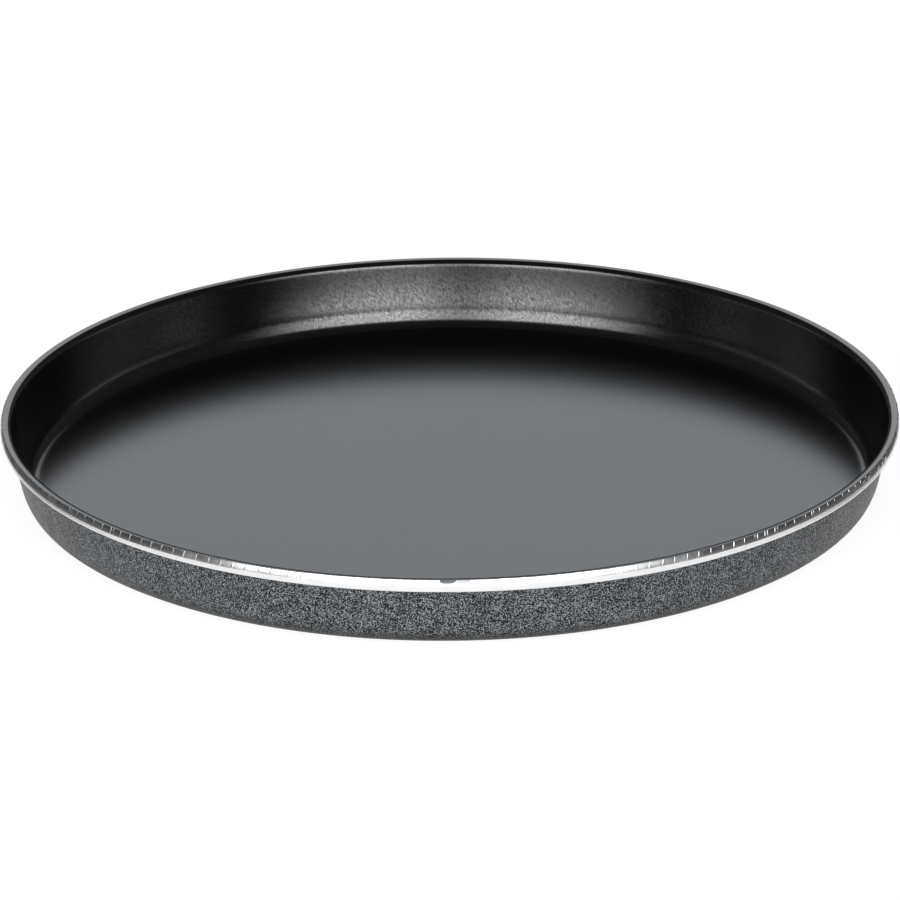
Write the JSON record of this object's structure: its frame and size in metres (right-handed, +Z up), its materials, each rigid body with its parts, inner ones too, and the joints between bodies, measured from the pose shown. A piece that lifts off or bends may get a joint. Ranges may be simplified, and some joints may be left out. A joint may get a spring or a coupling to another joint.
{
  "type": "microwave crisp plate",
  "caption": "Shallow round microwave crisp plate: pressed aluminium pan with a turned-down rim, non-stick lining, speckled outer coat and a ferrite rubber heating pad bonded under the base.",
  "frame": {"origin": "centre of the ferrite pad's underside, on the surface that the plate rests on", "axes": "+Z up along the plate's axis of revolution, X and Y across the plate"},
  "size_m": [0.3048, 0.305, 0.0275],
  "materials": {
    "bare_aluminium": "bright turned lip with roller marks round the shoulder",
    "nonstick_coat": "satin charcoal non-stick",
    "speckled_paint": "fine grey and black speckle, low sheen",
    "silicone_bond": "dull",
    "ferrite_rubber": "matt moulded rubber"
  },
  "bodies": {
    "root": {"pan_shell": "bare_aluminium", "nonstick_lining": "nonstick_coat", "speckled_outer_coat": "speckled_paint", "bond_film": "silicone_bond", "ferrite_pad": "ferrite_rubber"}
  },
  "joints": []
}
